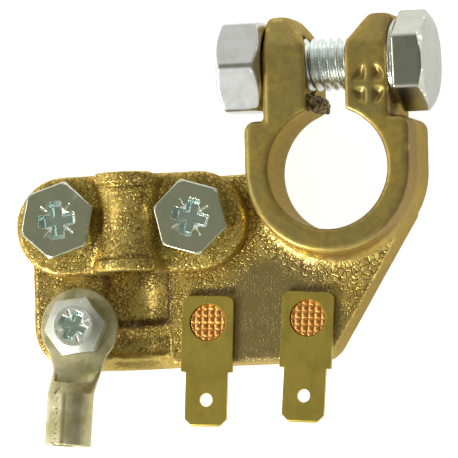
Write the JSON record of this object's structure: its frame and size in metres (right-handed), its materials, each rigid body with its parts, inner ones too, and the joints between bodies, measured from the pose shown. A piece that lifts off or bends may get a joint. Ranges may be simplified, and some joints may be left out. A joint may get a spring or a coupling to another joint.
{
  "type": "battery terminal clamp",
  "caption": "Cast brass battery post clamp with a pinch bolt, a screwed cable saddle over a trough, blade tabs and a crimp ring lug.",
  "frame": {"origin": "on the axis of the battery post, level with the face of the base plate that carries the saddle, lug and tabs", "axes": "+Z away from the battery, +Y from the post to the clamp bolt, +X along that bolt from its nut to its head"},
  "size_m": [0.0627, 0.0618, 0.0151],
  "materials": {
    "cast_brass": "cast, yellow passivated, glossy with a crackled skin",
    "stamped_brass": "stamped, satin",
    "bright_zinc_steel": "bright zinc plated",
    "dark_zinc_steel": "zinc plated, smooth and glossy",
    "tinned_copper": "tinned, satin",
    "copper": "bare, pressed"
  },
  "bodies": {
    "clamp_body": {"clamp_casting": "cast_brass", "blade_tab_left": "stamped_brass", "blade_tab_right": "stamped_brass", "tab_rivet_left": "copper", "tab_rivet_right": "copper"},
    "bolt": {"clamp_bolt": "bright_zinc_steel"},
    "nut": {"clamp_nut": "bright_zinc_steel"},
    "saddle": {"cable_saddle": "cast_brass"},
    "left_screw": {"saddle_screw_left": "dark_zinc_steel"},
    "right_screw": {"saddle_screw_right": "dark_zinc_steel"},
    "lug": {"ring_lug": "tinned_copper"},
    "lug_fastener": {"lug_screw": "dark_zinc_steel"}
  },
  "joints": [
    {"name": "bolt_spin", "type": "hinge", "parent": "clamp_body", "child": "bolt", "pos_m": [0.0095, 0.01545, 0.0016], "axis": [1, 0, 0], "range_deg": [0, 1080]},
    {"name": "nut_travel", "type": "slide", "parent": "clamp_body", "child": "nut", "axis": [-1, 0, 0], "range_m": [0, 0.00376]},
    {"name": "saddle_lift", "type": "slide", "parent": "clamp_body", "child": "saddle", "axis": [0, 0, 1], "range_m": [0, 0.003]},
    {"name": "saddle_screw_left_turn", "type": "hinge", "parent": "saddle", "child": "left_screw", "pos_m": [-0.0407, -0.00585, 0.003], "axis": [0, 0, 1], "range_deg": [0, 1081]},
    {"name": "saddle_screw_right_turn", "type": "hinge", "parent": "saddle", "child": "right_screw", "pos_m": [-0.0207, -0.00625, 0.003], "axis": [0, 0, 1], "range_deg": [0, 1081]},
    {"name": "lug_swivel", "type": "hinge", "parent": "clamp_body", "child": "lug", "pos_m": [-0.03926, -0.02117, 0], "axis": [0, 0, 1], "range_deg": [-110, 45]},
    {"name": "lug_screw_turn", "type": "hinge", "parent": "clamp_body", "child": "lug_fastener", "pos_m": [-0.03926, -0.02117, 0.001], "axis": [0, 0, 1], "range_deg": [0, 360]}
  ],
  "couplings": [
    {"joint": "nut_travel", "follows": "bolt_spin", "m_per_rad": 0.00019894},
    {"joint": "saddle_screw_left_turn", "follows": "saddle_lift", "rad_per_m": 6283.2},
    {"joint": "saddle_screw_right_turn", "follows": "saddle_lift", "rad_per_m": 6283.2}
  ]
}
